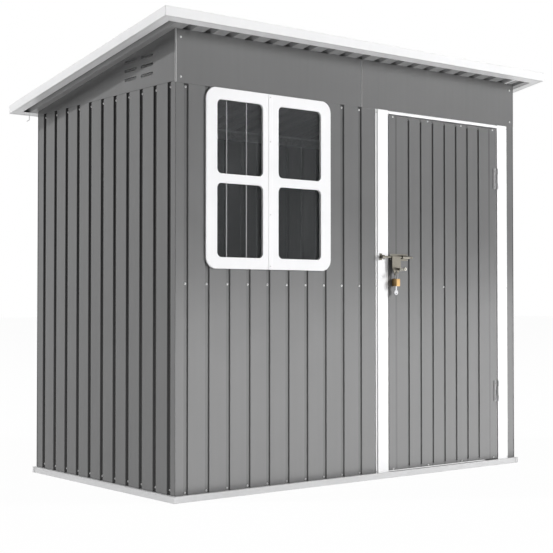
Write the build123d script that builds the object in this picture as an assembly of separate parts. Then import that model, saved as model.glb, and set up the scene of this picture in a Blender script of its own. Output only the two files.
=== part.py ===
"""Pent-roof metal storage shed, high at the front, with a hinged door, slide bolt and padlock.

Millimetres. X runs along the front wall, Y from front to back, Z up from the ground.
Shapes are drawn from the front-left wall corner and moved so that the origin is under
the middle of the roof.
"""
import os

from build123d import *

os.makedirs("parts", exist_ok=True)

# Overall: the walls' outer faces, and the height of the roof edging's lowest face at the front wall
WALL_W = 1900.0
WALL_D = 1084.0
LIP_FRONT = 1769.6
FALL = 0.1676

# Wall sheets: depths are measured inward from each wall's outer face
SHEET = 1.2
PITCH = 98.0
GROOVE_W = 21.0
GROOVE_FLOOR = 15.0
GROOVE_DEEP = 5.0
FIRST_FRONT = 47.8
FIRST_SIDE = 41.0
INNER = GROOVE_DEEP + SHEET
HEADER_H = 201.1
BAND_LOW = LIP_FRONT - HEADER_H
GABLE_STEP = 5.5
GABLE_LOW = BAND_LOW + GABLE_STEP
BEHIND_BAND = 10.0

# Vent slots in the gables
SLOT_YS = (195.9, 315.1)
SLOT_FIRST = 50.0
SLOT_STEP = 36.0
SLOT_ROWS = 3
SLOT_LONG = 86.0
SLOT_TALL = 11.0
SLOT_TILT = 0.5

# Base rail
BASE_OUT = 12.8
BASE_H = 24.6
BASE_STEEL = 1.5
BASE_IN = 36.0
UPSTAND_H = 25.4
UPSTAND_TOP = BASE_H + UPSTAND_H
PLATE_LEG = 16.0
PLATE_T = 1.0

# Roof
OVER_FRONT = 97.0
OVER_BACK = 64.0
OVER_SIDE = 110.0
EDGE_H = 36.5
EDGE_T = 1.2
LIP_W = 12.0
CAP_W = 18.0
ROOF_T = 1.0
RIB_H = 22.0
RIB_FOOT = 40.0
RIB_HEAD = 20.0
FIT_GAP = 0.3
MITRE = 60.0
HOOK_IN = 95.0
HOOK_R = 1.2
HOOK_DROP = 20.0
HOOK_TAIL = (-12.0, -7.0)

# Frame inside the sheets
ANGLE_LEG = 50.0
FRAME_T = 1.5
TOP_DROP = 40.0
TOP_REACH = 30.0
MID_H = 26.0
MID_DEEP = 20.0
MID_BELOW_WINDOW = 59.0
PURLIN_W = 30.0
PURLIN_H = 26.0
PURLIN_Y = WALL_D / 2

# Window
WIN_X0 = 135.0
WIN_W = 626.0
WIN_H = 694.0
WIN_X1 = WIN_X0 + WIN_W
WIN_Z1 = BAND_LOW - 0.5
WIN_Z0 = WIN_Z1 - WIN_H
WIN_LAP = 15.0
WIN_PROUD = 7.0
WIN_INNER = 8.0
WIN_CORNER = 46.0
WIN_SIDE = 52.0
WIN_MULLION = 78.0
WIN_RAIL = 44.0
WIN_BAR = 36.0
PANE_CORNER = 20.0
PANE_LAP = 5.0
PANE_FRONT = 3.0
PANE_T = 2.5
MID_Z = WIN_Z0 - MID_BELOW_WINDOW

# Doorway and door
DOORWAY_W = 697.0
DOORWAY_RIGHT = 115.0
DOORWAY_X1 = WALL_W - DOORWAY_RIGHT
DOORWAY_X0 = DOORWAY_X1 - DOORWAY_W
HEAD_H = 10.0
HEAD_BELOW_BAND = 4.5
DOORWAY_TOP = BAND_LOW - HEAD_BELOW_BAND - HEAD_H
POST_W = 70.0
POST_FLANGE = 10.0
POST_PROUD = 5.0
POST_LAP = 8.0
STOP_W = 15.0
STOP_Y = 14.5
POST_TOP = BAND_LOW - FIT_GAP
SHEET_END = DOORWAY_X0 - POST_LAP
DOOR_GAP = 5.0
LEAF_PROUD = 4.0
LEAF_BACK = 8.0
DOOR_GROOVES = 7
DOOR_PITCH = 74.3
DOOR_GROOVE_W = 12.0
DOOR_GROOVE_FLOOR = 7.0
DOOR_GROOVE_DEEP = 4.5
LEAF_MARGIN = 12.0
STIFF_H = 34.0
LEAF_X0, LEAF_X1 = DOORWAY_X0 + DOOR_GAP, DOORWAY_X1 - DOOR_GAP
LEAF_Z0, LEAF_Z1 = BASE_H + DOOR_GAP, DOORWAY_TOP - DOOR_GAP
DOOR_FIRST = (LEAF_X0 + LEAF_X1 - (DOOR_GROOVES - 1) * DOOR_PITCH) / 2 - 2.5

# Hinges
HINGE_H = 95.0
HINGE_LOW = 262.0
HINGE_HIGH = 184.0
HINGE_ZS = (LEAF_Z0 + HINGE_LOW, LEAF_Z1 - HINGE_HIGH - HINGE_H)
AXIS_X = DOORWAY_X1 - DOOR_GAP / 2
AXIS_Y = -9.2
KNUCKLE_R = 4.5
KNUCKLE_CLEAR = 2.5
PIN_R = 2.2
PIN_CLEAR = 0.4
KNUCKLE_GAP = 0.8
DOOR_KNUCKLE = 26.0
HINGE_T = 1.2
HINGE_W = 24.0

# Slide bolt: places are measured from the doorway's left edge
ROD_Y = -18.0
ROD_ABOVE_MID = 124.5
ROD_Z = MID_Z + ROD_ABOVE_MID
ROD_R = 4.0
ROD_CLEAR = 0.6
ROD_X0, ROD_X1 = DOORWAY_X0 - 33.0, DOORWAY_X0 + 128.0
ROD_END_R = 5.0
KEEPER_W = 14.0
KEEPER_GAP = 3.0
KEEPER_X1 = ROD_X0 - KEEPER_GAP
KEEPER_X0 = KEEPER_X1 - KEEPER_W
STRAP_X0, STRAP_X1 = DOORWAY_X0 + 69.0, DOORWAY_X0 + 109.0
STRAP_WALL = 3.0
STRAP_R = ROD_R + ROD_CLEAR + STRAP_WALL
LATCH_PLATE_T = 1.2
LATCH_PLATE_H = 28.0
LATCH_PLATE_LEFT = 60.0
LATCH_PLATE_RIGHT = 8.0
TAB_T = 3.0
TAB_FRONT = ROD_Y - ROD_R - TAB_T
EYE_R = 4.5
EYE_X = DOORWAY_X0 + 29.0
EYE_Z = ROD_Z - 64.0
TAB_LEFT, TAB_RIGHT, TAB_TOP, TAB_FOOT = 23.0, 27.0, 67.0, 14.0
KNOB_X, KNOB_Z = EYE_X + 14.0, EYE_Z + 11.5
KNOB_R = 5.0
KNOB_LONG = 36.0

# Padlock
WIRE_R = 2.4
SHACKLE_HALF = 8.0
SHACKLE_DROP = 27.0
SHACKLE_IN = 6.0
LOCK_W, LOCK_DEEP, LOCK_H = 20.0, 28.0, 32.0
LOCK_ROUND = 3.0
KEY_T = 2.2
KEY_BLADE_W, KEY_BLADE_H = 8.0, 16.0
KEY_BOW_R = 11.0
KEY_HOLE_R = 2.5

CENTRE = (WALL_W / 2, (WALL_D + OVER_BACK - OVER_FRONT) / 2, 0.0)


def save(node, *solids):
    """Moves solids to the shed's own origin and writes them as one node."""
    moved = [Pos(-CENTRE[0], -CENTRE[1], 0) * solid for solid in solids]
    whole = moved[0] if len(moved) == 1 else Compound(children=moved)
    whole.label = node
    export_step(whole, f"parts/{node}.step")


def only(shape):
    """The single solid of a shape."""
    return max(shape.solids(), key=lambda solid: solid.volume)


def prism(points, vector):
    """A solid made by pushing a flat outline along a vector."""
    face = make_face(Polyline(*points, close=True))
    push = Vector(*vector)
    return only(extrude(face, amount=push.length, dir=push.normalized()))


def block(x0, x1, y0, y1, z0, z1):
    return Pos((x0 + x1) / 2, (y0 + y1) / 2, (z0 + z1) / 2) * Box(x1 - x0, y1 - y0, z1 - z0)


def rod(centre, radius, length, axis):
    """A cylinder that starts at centre and runs along the axis."""
    turned = {"x": Rot(0, 90, 0), "y": Rot(-90, 0, 0), "z": Rot(0, 0, 0)}[axis]
    return Pos(*centre) * turned * Pos(0, 0, length / 2) * Cylinder(radius, length)


def lip(y):
    """Height of the roof edging's lowest face at depth y."""
    return LIP_FRONT - FALL * y


def roof_under(y):
    """Height of the roof sheet's underside at depth y."""
    return lip(y) + EDGE_T


def grooved(start, end, centres, floor, width, deep, sheet):
    """Outline of a sheet with recessed grooves, as (along, depth) pairs."""
    face = [(start, 0.0)]
    for centre in centres:
        face += [
            (centre - width / 2, 0.0),
            (centre - floor / 2, deep),
            (centre + floor / 2, deep),
            (centre + width / 2, 0.0),
        ]
    face.append((end, 0.0))
    return face + [(along, depth + sheet) for along, depth in reversed(face)]


def centres_between(first, pitch, start, end):
    spots = []
    spot = first
    while spot + GROOVE_W / 2 < end:
        if spot - GROOVE_W / 2 > start:
            spots.append(spot)
        spot += pitch
    return spots


def flat_near(x):
    """The middle of the flat between two grooves that lies nearest below x."""
    return FIRST_FRONT + (int((x - FIRST_FRONT) / PITCH) + 0.5) * PITCH


def wall_sheet(start, end, first, place, z0, z1):
    """A grooved wall sheet; place turns (along, depth) into (x, y)."""
    outline = grooved(
        start, end, centres_between(first, PITCH, start, end),
        GROOVE_FLOOR, GROOVE_W, GROOVE_DEEP, SHEET,
    )
    return prism([(*place(along, depth), z0) for along, depth in outline], (0, 0, z1 - z0))


def at_front(along, depth):
    return (along, depth)


def at_back(along, depth):
    return (along, WALL_D - depth)


def at_left(along, depth):
    return (depth, along)


def at_right(along, depth):
    return (WALL_W - depth, along)


def mitred(solid, x0, x1, y0, y1, side, deep):
    """Keeps the part of a frame's side that lies between its two mitres."""
    corners = {
        "front": [(x0, y0), (x1, y0), (x1 - deep, y0 + deep), (x0 + deep, y0 + deep)],
        "back": [(x0, y1), (x1, y1), (x1 - deep, y1 - deep), (x0 + deep, y1 - deep)],
        "left": [(x0, y0), (x0, y1), (x0 + deep, y1 - deep), (x0 + deep, y0 + deep)],
        "right": [(x1, y0), (x1, y1), (x1 - deep, y1 - deep), (x1 - deep, y0 + deep)],
    }[side]
    return only(solid & prism([(x, y, -10) for x, y in corners], (0, 0, 2 * LIP_FRONT)))


# Base rails: an outer web, a ledge that the sheets stand on, and an upstand behind them

def base_section():
    out, inner, steel = -BASE_OUT, BASE_IN, BASE_STEEL
    return [
        (out, 0), (inner, 0), (inner, steel), (out + steel, steel), (out + steel, BASE_H - steel),
        (INNER + steel, BASE_H - steel), (INNER + steel, UPSTAND_TOP), (INNER, UPSTAND_TOP),
        (INNER, BASE_H), (out, BASE_H),
    ]


def base_rail(side):
    length_x = WALL_W + 2 * BASE_OUT
    length_y = WALL_D + 2 * BASE_OUT
    place, run = {
        "front": (lambda d, z: (-BASE_OUT, d, z), (length_x, 0, 0)),
        "back": (lambda d, z: (-BASE_OUT, WALL_D - d, z), (length_x, 0, 0)),
        "left": (lambda d, z: (d, -BASE_OUT, z), (0, length_y, 0)),
        "right": (lambda d, z: (WALL_W - d, -BASE_OUT, z), (0, length_y, 0)),
    }[side]
    full = prism([place(d, z) for d, z in base_section()], run)
    return mitred(full, -BASE_OUT, WALL_W + BASE_OUT, -BASE_OUT, WALL_D + BASE_OUT, side, MITRE)


sill_cut = block(DOORWAY_X0 - STOP_W, DOORWAY_X1 + STOP_W, 0, BASE_IN, BASE_H, UPSTAND_TOP + 1)
save("base_rail_front", only(base_rail("front") - sill_cut))
save("base_rail_back", base_rail("back"))
save("base_rail_left", base_rail("left"))
save("base_rail_right", base_rail("right"))


def corner_plate(right, back):
    out = BASE_OUT + PLATE_T
    leg = PLATE_LEG + PLATE_T
    corner = [(-out, -out), (-out + leg, -out), (-out + leg, -BASE_OUT), (-BASE_OUT, -BASE_OUT),
              (-BASE_OUT, -out + leg), (-out, -out + leg)]
    points = [(WALL_W - x if right else x, WALL_D - y if back else y, 0) for x, y in corner]
    return prism(points, (0, 0, BASE_H))


corners = [(right, back) for right in (False, True) for back in (False, True)]
save("base_corner_plates", *[corner_plate(right, back) for right, back in corners])


# Frame inside the sheets

def corner_angle(right, back):
    top = roof_under(WALL_D if back else INNER + ANGLE_LEG) - TOP_DROP - 1
    inner, leg, steel = INNER, ANGLE_LEG, FRAME_T
    corner = [(inner, inner), (inner + leg, inner), (inner + leg, inner + steel),
              (inner + steel, inner + steel), (inner + steel, inner + leg), (inner, inner + leg)]
    points = [(WALL_W - x if right else x, WALL_D - y if back else y, UPSTAND_TOP) for x, y in corner]
    return prism(points, (0, 0, top - UPSTAND_TOP))


save("corner_angles", *[corner_angle(right, back) for right, back in corners])


def mid_section():
    deep, half, steel = INNER + MID_DEEP, MID_H / 2, FRAME_T
    return [(INNER, -half), (deep, -half), (deep, -half + steel), (INNER + steel, -half + steel),
            (INNER + steel, half - steel), (deep, half - steel), (deep, half), (INNER, half)]


rail_start = INNER + ANGLE_LEG
mid_rails = []
for place, run in (
    (lambda d, z: (rail_start, d, z), (DOORWAY_X0 - FRAME_T - rail_start, 0, 0)),
    (lambda d, z: (rail_start, WALL_D - d, z), (WALL_W - 2 * rail_start, 0, 0)),
    (lambda d, z: (d, rail_start, z), (0, WALL_D - 2 * rail_start, 0)),
    (lambda d, z: (WALL_W - d, rail_start, z), (0, WALL_D - 2 * rail_start, 0)),
):
    mid_rails.append(prism([place(d, MID_Z + z) for d, z in mid_section()], run))
save("mid_rails", *mid_rails)


def top_rail_cross():
    """Upright leg behind the sheets and a flat leg under the roof, downwards from the roof."""
    return [(0, 0), (INNER + TOP_REACH, 0), (INNER + TOP_REACH, -FRAME_T), (INNER + FRAME_T, -FRAME_T),
            (INNER + FRAME_T, -TOP_DROP), (INNER, -TOP_DROP), (INNER, -FRAME_T), (0, -FRAME_T)]


side_start, side_end = INNER + TOP_REACH, WALL_D - INNER - TOP_REACH
side_fall = -FALL * (side_end - side_start)
top_rails = []
for flip in (False, True):
    start_z = roof_under(side_start)
    points = [(WALL_W - d if flip else d, side_start, start_z + z) for d, z in top_rail_cross()]
    top_rails.append(prism(points, (0, side_end - side_start, side_fall)))
for back in (False, True):
    inset = SHEET if back else 0
    section = [(WALL_D - d if back else d, z) for d, z in top_rail_cross()]
    points = [(inset, y, roof_under(y) + z) for y, z in section]
    top_rails.append(prism(points, (WALL_W - 2 * inset, 0, 0)))
save("top_rails", *top_rails)

purlin_half = PURLIN_W / 2
purlin_x0 = INNER + TOP_REACH
section = [(-purlin_half, 0), (purlin_half, 0), (purlin_half, -PURLIN_H), (purlin_half - FRAME_T, -PURLIN_H),
           (purlin_half - FRAME_T, -FRAME_T), (-purlin_half + FRAME_T, -FRAME_T),
           (-purlin_half + FRAME_T, -PURLIN_H), (-purlin_half, -PURLIN_H)]
points = [(purlin_x0, PURLIN_Y + y, roof_under(PURLIN_Y + y) + z) for y, z in section]
save("roof_purlin", prism(points, (WALL_W - 2 * purlin_x0, 0, 0)))


# Walls

front_sheet = wall_sheet(SHEET, SHEET_END, FIRST_FRONT, at_front, BASE_H, BAND_LOW + BEHIND_BAND)
window_hole = block(WIN_X0 + WIN_LAP, WIN_X1 - WIN_LAP, -1, INNER + 1, WIN_Z0 + WIN_LAP, WIN_Z1 - WIN_LAP)
save("wall_front_panel", only(front_sheet - window_hole))
strip_x0 = DOORWAY_X0 + DOORWAY_X1 - SHEET_END
save("wall_front_strip", block(strip_x0, WALL_W - SHEET, 0, SHEET, BASE_H, BAND_LOW + BEHIND_BAND))

front_centres = centres_between(FIRST_FRONT, PITCH, SHEET, SHEET_END)
header_seam = front_centres[-1] + GROOVE_W / 2


def header(x0, x1):
    points = [(x0, -SHEET, BAND_LOW), (x0, 0, BAND_LOW), (x0, 0, roof_under(0)),
              (x0, -SHEET, roof_under(-SHEET))]
    return prism(points, (x1 - x0, 0, 0))


save("header_left", header(-SHEET, header_seam))
save("header_right", header(header_seam, WALL_W + SHEET))

for node, place in (("wall_left_panel", at_left), ("wall_right_panel", at_right)):
    save(node, wall_sheet(0, WALL_D, FIRST_SIDE, place, BASE_H, GABLE_LOW + BEHIND_BAND))


def slot_tool():
    """A rounded slot that runs through the sheet along X, centred on the origin."""
    straight = SLOT_LONG - SLOT_TALL
    tool = Box(10, straight, SLOT_TALL)
    for end in (-1, 1):
        tool += Pos(0, end * straight / 2, 0) * Rot(0, 90, 0) * Cylinder(SLOT_TALL / 2, 10)
    return Rot(-SLOT_TILT, 0, 0) * tool


def gable(right):
    x = WALL_W if right else -SHEET
    points = [(x, 0, GABLE_LOW), (x, WALL_D, GABLE_LOW), (x, WALL_D, roof_under(WALL_D)),
              (x, 0, roof_under(0))]
    sheet = prism(points, (SHEET, 0, 0))
    for y in SLOT_YS:
        for row in range(SLOT_ROWS):
            sheet -= Pos(x + SHEET / 2, y, GABLE_LOW + SLOT_FIRST + row * SLOT_STEP) * slot_tool()
    return only(sheet)


save("gable_left", gable(False))
save("gable_right", gable(True))

back_top = roof_under(WALL_D) - FRAME_T
back_seam = flat_near(WALL_W / 2)
save("wall_back_left", wall_sheet(SHEET, back_seam, FIRST_FRONT, at_back, BASE_H, back_top))
save("wall_back_right", wall_sheet(back_seam, WALL_W - SHEET, FIRST_FRONT, at_back, BASE_H, back_top))


# Window

def rounded_block(x0, x1, y0, y1, z0, z1, radius):
    """A block whose four edges along Y are rounded."""
    solid = block(x0, x1, y0, y1, z0, z1)
    return fillet(solid.edges().filter_by(Axis.Y), radius)


frame_plate = rounded_block(WIN_X0, WIN_X1, -WIN_PROUD, 0, WIN_Z0, WIN_Z1, WIN_CORNER)
ring_inset = WIN_LAP + FIT_GAP
frame_ring = block(WIN_X0 + ring_inset, WIN_X1 - ring_inset, 0, WIN_INNER,
                   WIN_Z0 + ring_inset, WIN_Z1 - ring_inset)
window_frame = frame_plate + frame_ring
panes = []
pane_w = (WIN_W - 2 * WIN_SIDE - WIN_MULLION) / 2
pane_h = (WIN_H - 2 * WIN_RAIL - WIN_BAR) / 2
for x0 in (WIN_X0 + WIN_SIDE, WIN_X1 - WIN_SIDE - pane_w):
    for z0 in (WIN_Z0 + WIN_RAIL, WIN_Z1 - WIN_RAIL - pane_h):
        x1, z1 = x0 + pane_w, z0 + pane_h
        window_frame -= rounded_block(x0, x1, -WIN_PROUD - 1, WIN_INNER + 1, z0, z1, PANE_CORNER)
        window_frame -= block(x0 - PANE_LAP, x1 + PANE_LAP, PANE_FRONT, WIN_INNER + 1,
                              z0 - PANE_LAP, z1 + PANE_LAP)
        lap = PANE_LAP - FIT_GAP
        panes.append(block(x0 - lap, x1 + lap, PANE_FRONT, PANE_FRONT + PANE_T, z0 - lap, z1 + lap))
save("window_frame", only(window_frame))
save("window_panes", *panes)


# Door frame

def post(flip):
    steel = FRAME_T
    x0, x1 = DOORWAY_X0 - POST_W, DOORWAY_X0
    face = -POST_PROUD
    outline = [
        (x0, 0), (x0, -steel), (x0 + POST_FLANGE, -steel), (x0 + POST_FLANGE, face), (x1, face),
        (x1, STOP_Y), (x1 + STOP_W, STOP_Y), (x1 + STOP_W, STOP_Y + steel), (x1 - steel, STOP_Y + steel),
        (x1 - steel, face + steel), (x0 + POST_FLANGE + steel, face + steel), (x0 + POST_FLANGE + steel, 0),
    ]
    if flip:
        outline = [(DOORWAY_X0 + DOORWAY_X1 - x, y) for x, y in outline]
    return prism([(x, y, BASE_H) for x, y in outline], (0, 0, POST_TOP - BASE_H))


save("door_post_left", post(False))
save("door_post_right", post(True))

head_outline = [
    (-POST_PROUD, DOORWAY_TOP), (STOP_Y, DOORWAY_TOP), (STOP_Y, DOORWAY_TOP - STOP_W),
    (STOP_Y + FRAME_T, DOORWAY_TOP - STOP_W), (STOP_Y + FRAME_T, DOORWAY_TOP + FRAME_T),
    (FRAME_T, DOORWAY_TOP + FRAME_T), (FRAME_T, BAND_LOW + TOP_REACH), (0, BAND_LOW + TOP_REACH),
    (0, DOORWAY_TOP + HEAD_H), (-POST_PROUD, DOORWAY_TOP + HEAD_H),
]
head = prism([(DOORWAY_X0, y, z) for y, z in head_outline], (DOORWAY_X1 - DOORWAY_X0, 0, 0))
for x0, x1 in ((DOORWAY_X0 - 1, DOORWAY_X0 + STOP_W), (DOORWAY_X1 - STOP_W, DOORWAY_X1 + 1)):
    head -= block(x0, x1, STOP_Y, STOP_Y + FRAME_T + 1, DOORWAY_TOP - STOP_W - 1, POST_TOP)
save("door_head_rail", only(head))


# Roof: ribbed sheets between the edging's lip and cap

def roof_sheet(x0, x1):
    spots = [FIRST_FRONT + i * PITCH for i in range(-2, int((WALL_W + 2 * OVER_SIDE) / PITCH) + 1)]
    ribs = [x for x in spots if x0 < x - RIB_FOOT / 2 and x + RIB_FOOT / 2 < x1]
    lower = [(x0, 0.0)]
    for x in ribs:
        foot, top = RIB_FOOT / 2, RIB_HEAD / 2
        lower += [(x - foot, 0.0), (x - top, RIB_H), (x + top, RIB_H), (x + foot, 0.0)]
    lower.append((x1, 0.0))
    outline = lower + [(x, z + ROOF_T) for x, z in reversed(lower)]
    y0 = -OVER_FRONT + EDGE_T + FIT_GAP
    y1 = WALL_D + OVER_BACK - EDGE_T - FIT_GAP
    points = [(x, y0, roof_under(y0) + z) for x, z in outline]
    return prism(points, (0, y1 - y0, -FALL * (y1 - y0)))


roof_x0, roof_x1 = -OVER_SIDE + EDGE_T + FIT_GAP, WALL_W + OVER_SIDE - EDGE_T - FIT_GAP
joints_x = [flat_near(WALL_W / 3), flat_near(WALL_W * 2 / 3)]
save("roof_sheet_left", roof_sheet(roof_x0, joints_x[0]))
save("roof_sheet_middle", roof_sheet(joints_x[0], joints_x[1]))
save("roof_sheet_right", roof_sheet(joints_x[1], roof_x1))


def edge_section():
    """Channel open towards the roof: lip below, cap above, as (inward, up)."""
    return [(0, 0), (LIP_W, 0), (LIP_W, EDGE_T), (EDGE_T, EDGE_T), (EDGE_T, EDGE_H - EDGE_T),
            (CAP_W, EDGE_H - EDGE_T), (CAP_W, EDGE_H), (0, EDGE_H)]


def edging(side):
    x0, x1 = -OVER_SIDE, WALL_W + OVER_SIDE
    y0, y1 = -OVER_FRONT, WALL_D + OVER_BACK
    if side in ("front", "back"):
        section = [(y0 + d if side == "front" else y1 - d, z) for d, z in edge_section()]
        full = prism([(x0, y, lip(y) + z) for y, z in section], (x1 - x0, 0, 0))
    else:
        section = [(x0 + d if side == "left" else x1 - d, z) for d, z in edge_section()]
        full = prism([(x, y0, lip(y0) + z) for x, z in section], (0, y1 - y0, -FALL * (y1 - y0)))
    return mitred(full, x0, x1, y0, y1, side, MITRE)


for side in ("front", "back", "left", "right"):
    save(f"fascia_{side}", edging(side))

hook_x = HOOK_IN - OVER_SIDE
hook_y = WALL_D + OVER_BACK - LIP_W / 2
hook_top = lip(hook_y) - FIT_GAP
hook_bend = hook_top - HOOK_DROP
hook_path = Polyline((hook_x, hook_y, hook_top), (hook_x, hook_y, hook_bend),
                     (hook_x + HOOK_TAIL[0], hook_y, hook_bend + HOOK_TAIL[1]))
hook_wire = Pos(hook_x, hook_y, hook_top) * Circle(HOOK_R)
save("eave_hook", only(sweep(hook_wire, path=hook_path, transition=Transition.RIGHT)))


# Door leaf: one sheet with its edges folded back and its grooves stopping short of top and bottom

groove_centres = [DOOR_FIRST + i * DOOR_PITCH for i in range(DOOR_GROOVES)]
leaf_face = grooved(LEAF_X0, LEAF_X1, groove_centres, DOOR_GROOVE_FLOOR, DOOR_GROOVE_W,
                    DOOR_GROOVE_DEEP, SHEET)
leaf = prism(
    [(x, depth - LEAF_PROUD, LEAF_Z0 + LEAF_MARGIN) for x, depth in leaf_face],
    (0, 0, LEAF_Z1 - LEAF_Z0 - 2 * LEAF_MARGIN),
)
for z0, z1 in ((LEAF_Z0, LEAF_Z0 + LEAF_MARGIN), (LEAF_Z1 - LEAF_MARGIN, LEAF_Z1)):
    leaf += block(LEAF_X0, LEAF_X1, -LEAF_PROUD, -LEAF_PROUD + SHEET, z0, z1)
leaf_back = -LEAF_PROUD + SHEET
for x in (LEAF_X0, LEAF_X1 - SHEET):
    leaf += block(x, x + SHEET, leaf_back, LEAF_BACK, LEAF_Z0, LEAF_Z1)
for z in (LEAF_Z0, LEAF_Z1 - SHEET):
    leaf += block(LEAF_X0, LEAF_X1, leaf_back, LEAF_BACK, z, z + SHEET)
save("door_leaf", only(leaf))

stiff_y = -LEAF_PROUD + DOOR_GROOVE_DEEP + SHEET


def stiffener(z0):
    outline = [(stiff_y, z0), (LEAF_BACK, z0), (LEAF_BACK, z0 + SHEET), (stiff_y + SHEET, z0 + SHEET),
               (stiff_y + SHEET, z0 + STIFF_H - SHEET), (LEAF_BACK, z0 + STIFF_H - SHEET),
               (LEAF_BACK, z0 + STIFF_H), (stiff_y, z0 + STIFF_H)]
    return prism([(LEAF_X0 + SHEET, y, z) for y, z in outline], (LEAF_X1 - LEAF_X0 - 2 * SHEET, 0, 0))


stiff_low = LEAF_Z0 + SHEET
stiff_high = LEAF_Z1 - SHEET - STIFF_H
save("door_stiffeners", stiffener(stiff_low), stiffener(MID_Z - STIFF_H / 2), stiffener(stiff_high))


# Hinges: the middle knuckle and pin belong to the post, the outer knuckles to the leaf

def post_hinge(z):
    low, high = z + DOOR_KNUCKLE + KNUCKLE_GAP, z + HINGE_H - DOOR_KNUCKLE - KNUCKLE_GAP
    face = -POST_PROUD
    plate_x0 = AXIS_X + KNUCKLE_R + KNUCKLE_CLEAR
    solid = block(plate_x0, DOORWAY_X1 + HINGE_W, face - HINGE_T, face, z, z + HINGE_H)
    solid += block(AXIS_X, plate_x0, face - HINGE_T, face, low, high)
    solid += rod((AXIS_X, AXIS_Y, low), KNUCKLE_R, high - low, "z")
    return only(solid + rod((AXIS_X, AXIS_Y, z), PIN_R, HINGE_H, "z"))


def door_hinge(z):
    face = -LEAF_PROUD
    plate_x1 = AXIS_X - KNUCKLE_R - KNUCKLE_CLEAR
    solid = block(LEAF_X1 - HINGE_W, plate_x1, face - HINGE_T, face, z, z + HINGE_H)
    for low in (z, z + HINGE_H - DOOR_KNUCKLE):
        solid += block(plate_x1, AXIS_X, face - HINGE_T, face, low, low + DOOR_KNUCKLE)
        solid += rod((AXIS_X, AXIS_Y, low), KNUCKLE_R, DOOR_KNUCKLE, "z")
    return only(solid - rod((AXIS_X, AXIS_Y, z - 1), PIN_R + PIN_CLEAR, HINGE_H + 2, "z"))


save("hinge_post_leaves", *[post_hinge(z) for z in HINGE_ZS])
save("hinge_door_leaves", *[door_hinge(z) for z in HINGE_ZS])


# Slide bolt: a keeper on the post, a strap on the leaf, and the rod with its tab and pull knob

def strap(x0, x1, face):
    """A round-nosed block that holds the rod, standing on a face."""
    solid = block(x0, x1, ROD_Y, face, ROD_Z - STRAP_R, ROD_Z + STRAP_R)
    solid += rod((x0, ROD_Y, ROD_Z), STRAP_R, x1 - x0, "x")
    return solid - rod((x0 - 1, ROD_Y, ROD_Z), ROD_R + ROD_CLEAR, x1 - x0 + 2, "x")


plate_low, plate_high = ROD_Z - LATCH_PLATE_H / 2, ROD_Z + LATCH_PLATE_H / 2
post_face, leaf_front = -POST_PROUD, -LEAF_PROUD
keeper = strap(KEEPER_X0, KEEPER_X1, post_face)
keeper += block(KEEPER_X0, KEEPER_X1, post_face - LATCH_PLATE_T, post_face, plate_low, plate_high)
save("bolt_keeper", only(keeper))

latch = strap(STRAP_X0, STRAP_X1, leaf_front)
latch += block(STRAP_X0 - LATCH_PLATE_LEFT, STRAP_X1 + LATCH_PLATE_RIGHT,
               leaf_front - LATCH_PLATE_T, leaf_front, plate_low, plate_high)
save("latch_plate", only(latch))

tab_outline = [(-TAB_LEFT, TAB_TOP), (TAB_RIGHT, TAB_TOP), (TAB_RIGHT, TAB_FOOT + EYE_R),
               (TAB_FOOT / 2, -TAB_FOOT), (-TAB_FOOT / 2, -TAB_FOOT), (-TAB_LEFT, TAB_FOOT + EYE_R)]
tab = prism([(EYE_X + x, TAB_FRONT, EYE_Z + z) for x, z in tab_outline], (0, TAB_T, 0))
neck = ROD_R - 1
tab += block(EYE_X - TAB_LEFT, EYE_X + TAB_RIGHT, TAB_FRONT, ROD_Y, ROD_Z - neck, ROD_Z + neck)
bolt = tab + rod((ROD_X0, ROD_Y, ROD_Z), ROD_R, ROD_X1 - ROD_X0, "x")
bolt += Pos(ROD_X1, ROD_Y, ROD_Z) * Sphere(ROD_END_R)
bolt += rod((KNOB_X, TAB_FRONT - KNOB_LONG, KNOB_Z), KNOB_R, KNOB_LONG + TAB_T / 2, "y")
bolt += Pos(KNOB_X, TAB_FRONT - KNOB_LONG, KNOB_Z) * Sphere(KNOB_R * 1.3)
bolt -= rod((EYE_X, TAB_FRONT - 1, EYE_Z), EYE_R, TAB_T + 2, "y")
save("latch_bolt", only(bolt))


# Padlock, hung from the tab's eye by its shackle

tab_middle = TAB_FRONT + TAB_T / 2
arch_z = EYE_Z - EYE_R + WIRE_R + FIT_GAP
lock_top = arch_z - SHACKLE_DROP
arch_low = arch_z - SHACKLE_HALF
leg_foot = lock_top - SHACKLE_IN
leg_ys = (tab_middle - SHACKLE_HALF, tab_middle + SHACKLE_HALF)
spine = Line((EYE_X, leg_ys[0], leg_foot), (EYE_X, leg_ys[0], arch_low))
spine += ThreePointArc((EYE_X, leg_ys[0], arch_low), (EYE_X, tab_middle, arch_z), (EYE_X, leg_ys[1], arch_low))
spine += Line((EYE_X, leg_ys[1], arch_low), (EYE_X, leg_ys[1], leg_foot))
wire = Pos(EYE_X, leg_ys[0], leg_foot) * Circle(WIRE_R)
save("padlock_shackle", only(sweep(wire, path=spine)))

half_w, half_deep = LOCK_W / 2, LOCK_DEEP / 2
lock_foot = lock_top - LOCK_H
lock = block(EYE_X - half_w, EYE_X + half_w, tab_middle - half_deep, tab_middle + half_deep,
             lock_foot, lock_top)
lock = fillet(lock.edges().filter_by(Axis.X), LOCK_ROUND)
for y in leg_ys:
    lock -= rod((EYE_X, y, leg_foot), WIRE_R, SHACKLE_DROP, "z")
save("padlock_body", only(lock))

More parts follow.
